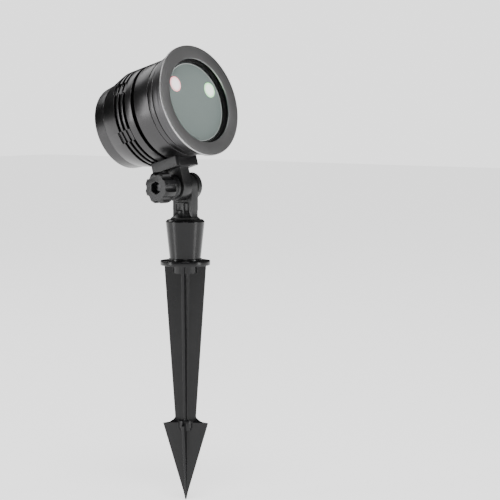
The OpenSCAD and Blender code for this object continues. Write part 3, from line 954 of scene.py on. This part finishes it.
@dataclass
class GroundSpike:
    """The four-finned spike with its flange and hub, one moulding. Sizes in millimetres."""

    flange_r: float = 21.25
    flange_t: float = 4.1
    hub_top: float = 38.8
    hub_top_r: float = 16.6
    hub_foot_r: float = 13.25
    step_r: float = 14.25
    step_top: float = 5.7
    hub_lip: float = 1.5
    socket_r: float = 10.5
    socket_l: float = 14.0
    boss_r: float = 10.3
    boss_h: float = 7.0
    fin_count: int = 4
    fin_turn: float = 33.5
    fin_rows: tuple = (
        (2.0, 17.9), (-0.2, 17.9), (-65.0, 13.45), (-129.4, 9.0), (-130.6, 9.1), (-132.6, 10.9),
        (-134.5, 14.0), (-135.1, 17.0), (-135.5, 19.4), (-137.0, 18.96), (-167.0, 10.14), (-195.0, 1.91),
        (-201.4, 0.5))
    core_rows: tuple = ((2.0, 3.6), (-100.0, 2.6), (-150.0, 2.0), (-156.0, 0.4))
    fin_root_t: float = 3.0
    fin_edge_t: float = 2.2
    core_t: float = 5.6
    collar_top: float = -132.7
    collar_l: float = 9.0

    def collar(self) -> bpy.types.Mesh:
        """The short round collar in the middle of the barbs."""
        top, end = self.collar_top, self.collar_top - self.collar_l
        return lathe(rounded([(0, top), (6.0, top, 0.7), (6.2, end + 2.2, 0.3), (5.3, end + 2.0, 0.2),
                              (5.2, end, 0.5), (0, end)]), 48)

    def hub(self) -> bpy.types.Mesh:
        """The flange, the hub with its socket, and the boss under the flange."""
        top, lip, floor = self.hub_top, self.hub_lip, self.hub_top - self.socket_l
        return lathe(rounded([
            (0, -self.boss_h), (self.boss_r, -self.boss_h, 0.8), (self.boss_r, 0, 0.5),
            (self.flange_r, 0, 0.7), (self.flange_r, self.flange_t, 0.7), (self.step_r, self.flange_t, 0.35),
            (self.step_r, self.step_top, 0.4), (self.hub_foot_r, self.step_top, 0.3),
            (self.hub_top_r, top - lip, 0.9), (self.hub_top_r - lip, top, 0.6), (self.socket_r, top, 0.3),
            (self.socket_r, floor), (0, floor)]))

    def blade(self, rows: Sequence[Point], root_t: float, edge_t: float) -> bpy.types.Mesh:
        """One fin, thicker at its root, with a rounded outer edge.

        Args:
            rows: (z, half width) down the fin.
            root_t: the thickness at the axis.
            edge_t: the thickness at the edge.

        Returns:
            The fin, on the x axis.
        """
        made = bmesh.new()
        rings = []
        for z, w in rows:
            slim = min(1.0, (w + 0.6) / 4.5)
            root, edge = root_t / 2 * slim, edge_t / 2 * slim
            lip = min(0.45, w * 0.3)
            section = [(-0.2, root), (w - 2 * lip, edge), (w - lip * 0.6, edge * 0.86), (w, edge * 0.4),
                       (w, -edge * 0.4), (w - lip * 0.6, -edge * 0.86), (w - 2 * lip, -edge), (-0.2, -root)]
            rings.append([made.verts.new((x * MM, y * MM, z * MM)) for x, y in section])
        for upper, lower in zip(rings, rings[1:]):
            for k in range(len(upper)):
                n = (k + 1) % len(upper)
                made.faces.new((upper[k], upper[n], lower[n], lower[k]))
        made.faces.new(rings[0])
        made.faces.new(rings[-1][::-1])
        return to_mesh(made)

    def build(self) -> None:
        """Makes the spike as one piece."""
        turn = math.radians(self.fin_turn)
        fin = self.blade(self.fin_rows, self.fin_root_t, self.fin_edge_t)
        fins = ring_of(fin, self.fin_count, turn, SPIKE)
        rib = self.blade(self.core_rows, self.core_t, self.core_t * 0.8)
        core = ring_of(rib, self.fin_count, turn, SPIKE)
        piece("ground_spike_moulding", joined(self.hub(), fins, core, self.collar()), SPIKE, Body.STAKE,
              ["ground_spike"])


# ---------------------------------------------------------------- the knuckle


@dataclass
class Knuckle:
    """The post, the clamp and its knob. Sizes in millimetres, along the bolt's axis where they are x."""

    post_bevel: float = 0.45
    knob_x: float = -37.5
    grip_x: float = -25.0
    collar_x: float = -16.6
    grip_r: float = 13.35
    throat_r: float = 9.5
    collar_r: float = 10.4
    lobes: int = 8
    flute_r: float = 3.0
    flute_out: float = 0.2
    hex_af: float = 10.0
    hex_depth: float = 11.0
    bore_r: float = 3.08
    melt: float = 0.14

    def knob_rows(self) -> list[tuple[float, float, bool]]:
        """(x, radius, fluted) along the knob, from its face to its collar."""
        r, x, back = self.grip_r, self.knob_x, self.grip_x
        throat, collar, end = self.throat_r, self.collar_r, self.collar_x
        fluted = [(x, r - 2.3), (x + 0.25, r - 1.6), (x + 0.8, r - 0.9), (x + 1.7, r - 0.2), (x + 2.4, r),
                  (x + 7, r), (back - 2.2, r), (back - 1.2, r - 0.15)]
        plain = [(back - 0.5, r - 0.8), (back, r - 2.2), (back + 0.5, throat + 0.5), (back + 1.6, throat),
                 (end - 3.5, throat), (end - 3.1, collar - 0.4), (end - 2.8, collar), (end - 0.5, collar),
                 (end, collar - 0.5)]
        return [(*row, True) for row in fluted] + [(*row, False) for row in plain]

    def lobed(self, angle: float, radius: float) -> float:
        """The grip's radius at an angle, with its flutes melted softly into its round.

        Args:
            angle: the angle round the bolt.
            radius: the grip's radius between the flutes.
        """
        step = 2 * math.pi / self.lobes
        off = (angle + step / 2) % step - step / 2
        centre = self.grip_r + self.flute_out
        reach = self.flute_r ** 2 - (centre * math.sin(off)) ** 2
        if reach <= 0:
            return radius
        flute = centre * math.cos(off) - math.sqrt(reach)
        return -self.melt * math.log(math.exp(-radius / self.melt) + math.exp(-flute / self.melt))

    def knob(self) -> bpy.types.Mesh:
        """The lobed knob with its hex recess and bore."""
        sides = 26 * self.lobes
        made = bmesh.new()
        rings = []
        for x, radius, fluted in self.knob_rows():
            rings.append([])
            for k in range(sides):
                angle = 2 * math.pi * k / sides
                r = self.lobed(angle, radius) if fluted else radius
                corner = r * math.cos(angle) * MM, r * math.sin(angle) * MM, x * MM
                rings[-1].append(made.verts.new(corner))
        for low, high in zip(rings, rings[1:]):
            for k in range(sides):
                n = (k + 1) % sides
                made.faces.new((low[k], low[n], high[n], high[k]))
        made.faces.new(rings[0][::-1])
        made.faces.new(rings[-1])
        face = self.knob_x - CUT_OVER
        recess = prism(polygon(6, self.hex_af * MM), face * MM, (self.knob_x + self.hex_depth) * MM)
        bore = rod(self.bore_r, face, self.collar_x + CUT_OVER, 48)
        return carved(carved(to_mesh(made), recess), bore)

    def build(self) -> None:
        """Makes the post and the knob, and dresses the clamp's hardware."""
        piece("knuckle_post_moulding", cad_copy("knuckle_post", self.post_bevel), SATIN, Body.POST,
              ["knuckle_post"])
        piece("clamp_knob_moulding", moved(self.knob(), PLACES.bolt), SATIN, Body.KNOB, ["clamp_knob"],
              38)
        dress(BLACK_ZINC, "clamp_bolt", "clamp_washer", "knob_nut")
        dress(RUBBER, "post_seal", "friction_disc")


def carved(mesh: bpy.types.Mesh, cutter: bpy.types.Mesh) -> bpy.types.Mesh:
    """A mesh with another cut out of it.

    Args:
        mesh: the mesh to cut.
        cutter: the closed mesh that is taken away.
    """
    tool = bpy.data.objects.new("cutter", cutter)
    bpy.context.scene.collection.objects.link(tool)
    result = with_modifiers(mesh, ("BOOLEAN", {"object": tool, "operation": "DIFFERENCE", "solver": "EXACT"}))
    bpy.data.objects.remove(tool)
    return result


# ---------------------------------------------------------------- screws


@dataclass
class SocketScrews:
    """A ring of socket-head screws. Sizes in millimetres; heads point along +z."""

    count: int
    circle_r: float
    start: float
    shank_r: float
    head_r: float
    head_t: float
    shank_l: float
    seat: float
    socket_af: float

    def build(self, name: str, place: Matrix, nodes: Sequence[str]) -> None:
        """Makes the screws as one piece.

        Args:
            name: the piece's name.
            place: the ring's place.
            nodes: the CAD nodes that it stands for.
        """
        top = self.seat + self.head_t
        outline = rounded([(0, self.seat - self.shank_l), (self.shank_r, self.seat - self.shank_l, 0.3),
                           (self.shank_r, self.seat), (self.head_r, self.seat, 0.15), (self.head_r, top, 0.5),
                           (0, top)])
        socket = prism(polygon(6, self.socket_af * MM), (top - self.head_t * 0.6) * MM, (top + CUT_OVER) * MM)
        screw = carved(lathe(outline, 40), socket)
        ring = ring_of(moved(screw, Matrix.Translation((self.circle_r * MM, 0, 0))), self.count, self.start,
                       BLACK_ZINC)
        piece(name, moved(ring, place), BLACK_ZINC, Body.HEAD, nodes)


# ---------------------------------------------------------------- the projector


@dataclass
class Bracket:
    """The saddle and tongue under the barrel, and their screws. Sizes in millimetres."""

    bevel: float = 0.55
    screw_x: float = 9.3
    screw_s: float = 42.9
    screw_seat: float = 46.0

    def build(self) -> None:
        """Makes the bracket and its screws."""
        piece("mount_bracket_moulding", cad_copy("mount_bracket", self.bevel), SATIN, Body.HEAD,
              ["mount_bracket"])
        down = Matrix.Rotation(-math.pi / 2, 4, "X")
        place = PLACES.barrel @ Matrix.Translation((0, 0, self.screw_s * MM)) @ down
        screws = SocketScrews(count=2, circle_r=self.screw_x, start=0.0, shank_r=2.0, head_r=3.3, head_t=2.6,
                              shank_l=9.0, seat=self.screw_seat, socket_af=2.6)
        screws.build("bracket_screw_pair", place, ["bracket_screws"])


@dataclass
class Housing:
    """The bezel, the finned barrel and the rear cover: turned shells. Sizes in millimetres."""

    bezel_r: float = 47.7
    window_r: float = 36.3
    barrel_r: float = 42.4
    bore_r: float = 34.5
    length: float = 89.5
    seam: float = 76.8
    tail_r: float = 37.4
    spigot_r: float = 40.9
    spigot_s: float = 7.3
    shoulder_s: float = 14.9
    line_s: float = 19.3
    wide_s: float = 35.8
    wide_w: float = 3.7
    wide_depth: float = 4.4
    groove_s: float = 46.3
    groove_pitch: float = 5.0
    groove_w: float = 2.8
    groove_depth: float = 4.2
    groove_count: int = 3
    slope: float = 0.45
    pocket_count: int = 6
    pocket_turn: float = 0.0
    pocket_w: float = 10.4
    pocket_l: float = 15.4
    pocket_s: float = 46.6
    pocket_depth: float = 2.3
    edge: float = 0.25
    line_w: float = 0.8
    line_depth: float = 0.6
    skirt_r: float = 41.1
    skirt_s: float = 12.8
    glass_seat_r: float = 38.6
    glass_seat_s: float = 1.6
    cover_bore_r: float = 28.5
    cover_spigot_r: float = 34.3
    cover_wall: float = 4.8
    gland_hole_r: float = 6.1
    screw_count: int = 4
    screw_circle_r: float = 24.5
    screw_seat_r: float = 3.0
    screw_seat_depth: float = 2.2

    def groove(self, s: float, width: float, depth: float) -> list[tuple]:
        """A groove's corners in the barrel's outline.

        Args:
            s: where it starts, behind the bezel's face.
            width: its width.
            depth: its depth.
        """
        r, floor = self.barrel_r, self.barrel_r - depth
        return [(r, s, self.edge), (floor, s + self.slope, 0.5), (floor, s + width - self.slope, 0.5),
                (r, s + width, self.edge)]

    def bezel(self) -> bpy.types.Mesh:
        """The front ring, with its rim, neck and skirt."""
        r = self.bezel_r
        return lathe(rounded([
            (self.window_r, 0, 0.2), (r, 0, 0.7), (r, 2.1, 0.25), (r - 3.6, 2.2, 0.2), (r - 3.6, 3.0, 0.2),
            (r - 2.3, 3.0, 0.35), (r - 2.3, 7.0, 0.35), (r - 4.9, 7.1, 0.2), (r - 4.9, 7.9, 0.2),
            (r - 3.7, 7.9, 0.3), (r - 3.7, self.skirt_s, 0.4), (self.skirt_r, self.skirt_s, 0.1),
            (self.skirt_r, self.spigot_s + 0.1), (self.glass_seat_r, self.spigot_s - 0.1),
            (self.glass_seat_r, self.glass_seat_s), (self.window_r, self.glass_seat_s, 0.2)]), 192)

    def barrel(self) -> bpy.types.Mesh:
        """The barrel: spigot, main band, grooves, fins and tapered tail, with its pockets."""
        r, line_r, line_end = self.barrel_r, self.barrel_r - self.line_depth, self.line_s + self.line_w
        starts = [self.groove_s + i * self.groove_pitch for i in range(self.groove_count)]
        fins = [corner for s in starts for corner in self.groove(s, self.groove_w, self.groove_depth)]
        outline = rounded([
            (self.bore_r, self.spigot_s, 0.3), (self.spigot_r, self.spigot_s, 0.4),
            (self.spigot_r, self.shoulder_s, 0.1), (r, self.shoulder_s, 0.4), (r, self.line_s, 0.1),
            (line_r, self.line_s, 0.1), (line_r, line_end, 0.1), (r, line_end, 0.1),
            *self.groove(self.wide_s, self.wide_w, self.wide_depth), *fins,
            (self.tail_r, self.seam, 0.35), (self.bore_r, self.seam, 0.2)], 3)
        turn = math.radians(self.pocket_turn)
        size = (self.pocket_w * MM, 8 * MM, self.pocket_l * MM)
        return pocketed(lathe(outline, 192), self.pocket_count, turn, size, (r - self.pocket_depth) * MM,
                        (self.pocket_s + self.pocket_l / 2) * MM, ANODISED)

    def cover(self) -> bpy.types.Mesh:
        """The rear cover, with its screw seats and the gland's hole."""
        start, seam, end, tail = self.seam - 7, self.seam, self.length, self.tail_r
        bore, spigot, hole = self.cover_bore_r, self.cover_spigot_r, self.gland_hole_r
        inner_end = end - self.cover_wall
        outline = rounded([
            (bore, start), (spigot, start, 0.5), (spigot, seam, 0.1), (tail, seam, 0.4),
            (tail - 1.4, end - 1, 3.2), (tail - 3.6, end, 2.2), (hole, end, 0.3), (hole, inner_end),
            (bore, inner_end)], 6)
        seat = rod(self.screw_seat_r, end - self.screw_seat_depth, end + CUT_OVER)
        first = moved(seat, Matrix.Translation((self.screw_circle_r * MM, 0, 0)))
        seats = ring_of(first, self.screw_count, math.pi / 4, ANODISED)
        return carved(lathe(outline, 160), seats)

    def build(self) -> None:
        """Makes the three shells and the cover's screws."""
        shells = (("front_bezel", self.bezel(), BEZEL, 40), ("barrel", self.barrel(), ANODISED, 30),
                  ("rear_cover", self.cover(), ANODISED, 35))
        for node, mesh, finish, angle in shells:
            piece(node + "_turned", moved(mesh, PLACES.clocked), finish, Body.HEAD, [node],
                  angle)
        screws = SocketScrews(count=self.screw_count, circle_r=self.screw_circle_r, start=math.pi / 4,
                              shank_r=1.45, head_r=2.8, head_t=1.8, shank_l=12.0,
                              seat=self.length - self.screw_seat_depth, socket_af=2.1)
        screws.build("rear_cover_screw_ring", PLACES.clocked, ["rear_cover_screws"])
        dress(RUBBER, "bezel_seal", "rear_seal")


@dataclass
class Optics:
    """The glass, the front plate, the lit lenses and what is behind them. Sizes in millimetres."""

    glass_r: float = 38.4
    glass_s: float = 1.6
    glass_t: float = 3.0
    plate_s: float = 5.8
    lens_r: float = 6.6
    lens_t: float = 1.3

    def lens(self, side: int) -> bpy.types.Mesh:
        """A lens that is slightly domed to the front.

        Args:
            side: -1 for the red one and 1 for the green one.
        """
        s, edge = self.plate_s, self.lens_r - 0.1
        made = lathe(rounded([(0, s - 0.35), (self.lens_r * 0.55, s - 0.2, 2), (edge, s + 0.15, 0.3),
                              (edge, s + self.lens_t, 0.1), (0, s + self.lens_t)], 5), 64)
        return moved(made, PLACES.port(side))

    def build(self) -> None:
        """Makes the window and the lenses, and dresses what is behind them."""
        s, t, r = self.glass_s, self.glass_t, self.glass_r
        glass = lathe(rounded([(0, s), (r, s, 0.3), (r, s + t, 0.3), (0, s + t)]), 128)
        piece("window_glass_disc", moved(glass, PLACES.clocked), CLEAR, Body.HEAD, ["window_glass"])
        piece("red_lens_dome", self.lens(-1), RED, Body.HEAD, ["red_lens"])
        piece("green_lens_dome", self.lens(1), GREEN, Body.HEAD, ["green_lens"])
        dress(PLATE, "front_plate")
        dress(RUBBER, "window_gasket")
        dress(BRIGHT, "trim_ring")
        dress(BRASS, "red_module", "green_module", "board_standoffs")
        dress(ALUMINIUM, "module_block")


@dataclass
class Electronics:
    """The driver board and its parts."""

    def build(self) -> None:
        """Dresses the board, its parts and its screws."""
        dress(BOARD, "driver_board")
        dress(COMPONENT, "board_parts")
        dress(ZINC, "board_screws")


@dataclass
class Gland:
    """The cord inlet at the back."""

    bevel: float = 0.3

    def build(self) -> None:
        """Makes the gland's outer pieces and dresses the rest."""
        for node in ("gland_body", "gland_nut"):
            piece(node + "_moulding", cad_copy(node, self.bevel), NYLON, Body.HEAD, [node])
        dress(NYLON, "gland_locknut")
        dress(RUBBER, "gland_seal")


# ---------------------------------------------------------------- the studio


@dataclass
class Studio:
    """The pale floor, the soft light and the camera."""

    azimuth: float = -51.0
    elevation: float = 4.5
    distance: float = 1.87
    lens: float = 158.4
    sensor: float = 36.0
    aim_right: float = 0.055
    aim_up: float = 0.01275
    floor_half: float = 6.0
    floor_drop: float = 0.0005
    backdrop: float = 2.0
    lamps_aim: tuple = (0, 0, 0.08)

    def camera(self) -> None:
        """Looks at the knuckle from the projector's left front."""
        a, e = math.radians(self.azimuth), math.radians(self.elevation)
        back = Vector((math.sin(a) * math.cos(e), -math.cos(a) * math.cos(e), math.sin(e)))
        right = Vector((math.cos(a), math.sin(a), 0))
        target = right * self.aim_right + back.cross(right) * self.aim_up
        data = bpy.data.cameras.new("camera")
        data.lens, data.sensor_width = self.lens, self.sensor
        made = bpy.data.objects.new("camera", data)
        made.location = target + back * self.distance
        made.rotation_euler = (-back).to_track_quat("-Z", "Y").to_euler()
        bpy.context.scene.collection.objects.link(made)
        bpy.context.scene.camera = made

    def floor(self) -> None:
        """A wide pale sheet under the spike's tip."""
        low = CAD_BOX[0].z - self.floor_drop
        half = self.floor_half
        corners = ((-half, -half, low), (half, -half, low), (half, half, low), (-half, half, low))
        made = bmesh.new()
        made.faces.new([made.verts.new(corner) for corner in corners])
        mesh = bpy.data.meshes.new("floor")
        made.to_mesh(mesh)
        made.free()
        shader = Shader("pale_floor")
        shader.set(Base_Color=(0.92, 0.92, 0.92), Roughness=0.9, Emission_Color=(1, 1, 1),
                   Emission_Strength=1.5)
        mesh.materials.append(shader.material)
        sheet = bpy.data.objects.new("floor", mesh)
        bpy.context.scene.collection.objects.link(sheet)

    def area(self, name: str, place: Sequence[float], size: Sequence[float], power: float) -> None:
        """A soft lamp that looks at the projector.

        Args:
            name: the lamp's name.
            place: where it stands.
            size: its width and height.
            power: its power in watts.
        """
        data = bpy.data.lights.new(name, "AREA")
        data.shape, data.size, data.size_y, data.energy = "RECTANGLE", size[0], size[1], power
        lamp = bpy.data.objects.new(name, data)
        lamp.location = place
        lamp.rotation_euler = (Vector(self.lamps_aim) - Vector(place)).to_track_quat("-Z", "Y").to_euler()
        bpy.context.scene.collection.objects.link(lamp)

    def world(self) -> None:
        """A pale backdrop to look at, which lights the projector only from above."""
        world = bpy.data.worlds.new("studio")
        bpy.context.scene.world = world
        world.use_nodes = True
        nodes, links = world.node_tree.nodes, world.node_tree.links
        direction = nodes.new("ShaderNodeTexCoord")
        split = nodes.new("ShaderNodeSeparateXYZ")
        ramp = nodes.new("ShaderNodeValToRGB")
        stops = ((0.0, 0.0), (0.5, 0.012), (0.62, 0.03), (0.8, 0.2), (1.0, 0.4))
        Shader.set_stops(ramp.color_ramp, [(place, (grey,) * 3) for place, grey in stops])
        shift = nodes.new("ShaderNodeMath")
        shift.operation = "MULTIPLY_ADD"
        shift.inputs[1].default_value, shift.inputs[2].default_value = 0.5, 0.5
        path = nodes.new("ShaderNodeLightPath")
        mix = nodes.new("ShaderNodeMix")
        mix.data_type = "RGBA"
        mix.inputs[7].default_value = (self.backdrop,) * 3 + (1,)
        links.new(direction.outputs["Generated"], split.inputs[0])
        links.new(split.outputs["Z"], shift.inputs[0])
        links.new(shift.outputs[0], ramp.inputs[0])
        links.new(path.outputs["Is Camera Ray"], mix.inputs[0])
        links.new(ramp.outputs[0], mix.inputs[6])
        links.new(mix.outputs[2], nodes["Background"].inputs[0])

    def build(self) -> None:
        """Makes the studio."""
        self.camera()
        self.floor()
        self.area("key", (-0.7, -0.6, 2.1), (0.9, 0.9), 26)
        self.area("right", (0.55, -1.8, 0.1), (0.45, 1.3), 16)
        self.area("left", (-1.5, 0.98, 0.12), (0.4, 1.5), 15)
        self.area("back", (0.4, 1.8, 1.4), (1.4, 0.6), 8)
        self.world()


def main() -> None:
    """Builds the studio and every sub-assembly in order."""
    logging.basicConfig(level=logging.INFO, format="%(message)s")
    Studio().build()
    for assembly in (GroundSpike(), Knuckle(), Bracket(), Housing(), Optics(), Electronics(), Gland()):
        LOG.info("building %s", type(assembly).__name__)
        assembly.build()


if __name__ == "__main__":
    main()
